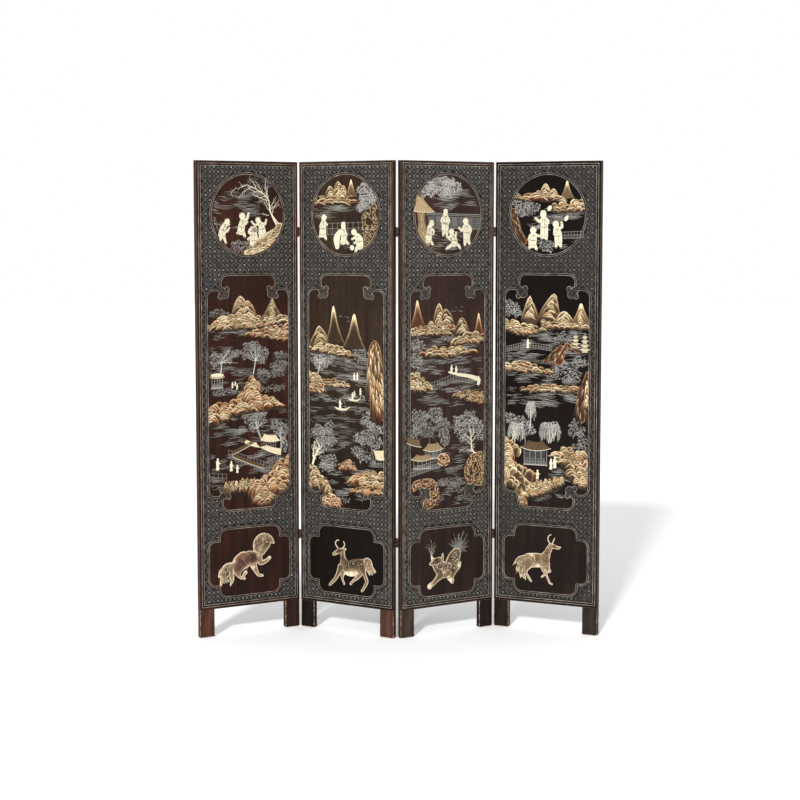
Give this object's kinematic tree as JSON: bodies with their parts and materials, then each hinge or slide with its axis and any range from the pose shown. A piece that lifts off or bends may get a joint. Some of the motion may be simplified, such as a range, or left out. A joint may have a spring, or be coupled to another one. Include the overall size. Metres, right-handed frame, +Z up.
{
  "type": "folding screen",
  "caption": "Folding room screen of tall lacquered leaves, hinged in a zigzag, with inlaid pictures in bordered fields and stile ends as feet.",
  "frame": {"origin": "on the floor, in the middle of the standing screen's outline", "axes": "+Z up; the pictured faces look towards -Y; leaf 1 is at -X and leaf 4 at +X"},
  "size_m": [1.5524, 0.257, 1.83],
  "materials": {
    "lacquered_wood": "dark red-brown lacquer, worn at the edges",
    "core_wood": "bare softwood, hidden",
    "front_lacquer": "black-brown lacquer, soft gloss",
    "back_lacquer": "plain brown-black lacquer, soft gloss",
    "inlay": "bone, soapstone and mother-of-pearl",
    "hinge": "old brown patina",
    "screw": "dull"
  },
  "bodies": {
    "leaf_2": {"leaf_2_left_stile": "lacquered_wood", "leaf_2_right_stile": "lacquered_wood", "leaf_2_top_rail": "lacquered_wood", "leaf_2_bottom_rail": "lacquered_wood", "leaf_2_middle_rails": "core_wood", "leaf_2_core_boards": "core_wood", "leaf_2_front_skin": "front_lacquer", "leaf_2_back_skin": "back_lacquer", "leaf_2_border_lines": "inlay", "leaf_2_hinge_screws": "screw", "leaf_2_left_lower_hinge_plate": "hinge", "leaf_2_left_upper_hinge_plate": "hinge", "leaf_2_right_lower_hinge_plate": "hinge", "leaf_2_right_upper_hinge_plate": "hinge", "hinge_pin_2_3_lower": "hinge", "hinge_pin_2_3_upper": "hinge"},
    "leaf_1": {"leaf_1_left_stile": "lacquered_wood", "leaf_1_right_stile": "lacquered_wood", "leaf_1_top_rail": "lacquered_wood", "leaf_1_bottom_rail": "lacquered_wood", "leaf_1_middle_rails": "core_wood", "leaf_1_core_boards": "core_wood", "leaf_1_front_skin": "front_lacquer", "leaf_1_back_skin": "back_lacquer", "leaf_1_border_lines": "inlay", "leaf_1_hinge_screws": "screw", "leaf_1_right_lower_hinge_plate": "hinge", "leaf_1_right_upper_hinge_plate": "hinge", "hinge_pin_1_2_lower": "hinge", "hinge_pin_1_2_upper": "hinge"},
    "leaf_3": {"leaf_3_left_stile": "lacquered_wood", "leaf_3_right_stile": "lacquered_wood", "leaf_3_top_rail": "lacquered_wood", "leaf_3_bottom_rail": "lacquered_wood", "leaf_3_middle_rails": "core_wood", "leaf_3_core_boards": "core_wood", "leaf_3_front_skin": "front_lacquer", "leaf_3_back_skin": "back_lacquer", "leaf_3_border_lines": "inlay", "leaf_3_hinge_screws": "screw", "leaf_3_left_lower_hinge_plate": "hinge", "leaf_3_left_upper_hinge_plate": "hinge", "leaf_3_right_lower_hinge_plate": "hinge", "leaf_3_right_upper_hinge_plate": "hinge", "hinge_pin_3_4_lower": "hinge", "hinge_pin_3_4_upper": "hinge"},
    "leaf_4": {"leaf_4_left_stile": "lacquered_wood", "leaf_4_right_stile": "lacquered_wood", "leaf_4_top_rail": "lacquered_wood", "leaf_4_bottom_rail": "lacquered_wood", "leaf_4_middle_rails": "core_wood", "leaf_4_core_boards": "core_wood", "leaf_4_front_skin": "front_lacquer", "leaf_4_back_skin": "back_lacquer", "leaf_4_border_lines": "inlay", "leaf_4_hinge_screws": "screw", "leaf_4_left_lower_hinge_plate": "hinge", "leaf_4_left_upper_hinge_plate": "hinge"}
  },
  "joints": [
    {"name": "fold_1_2", "type": "hinge", "parent": "leaf_2", "child": "leaf_1", "pos_m": [-0.39165, 0.10238, 0.965], "axis": [0, 0, 1], "range_deg": [-63.9, 116.1]},
    {"name": "fold_2_3", "type": "hinge", "parent": "leaf_2", "child": "leaf_3", "pos_m": [-0.00737, -0.10924, 0.965], "axis": [0, 0, 1], "range_deg": [-65.8, 114.2]},
    {"name": "fold_3_4", "type": "hinge", "parent": "leaf_3", "child": "leaf_4", "pos_m": [0.37392, 0.10772, 0.965], "axis": [0, 0, 1], "range_deg": [-120.7, 59.3]}
  ]
}
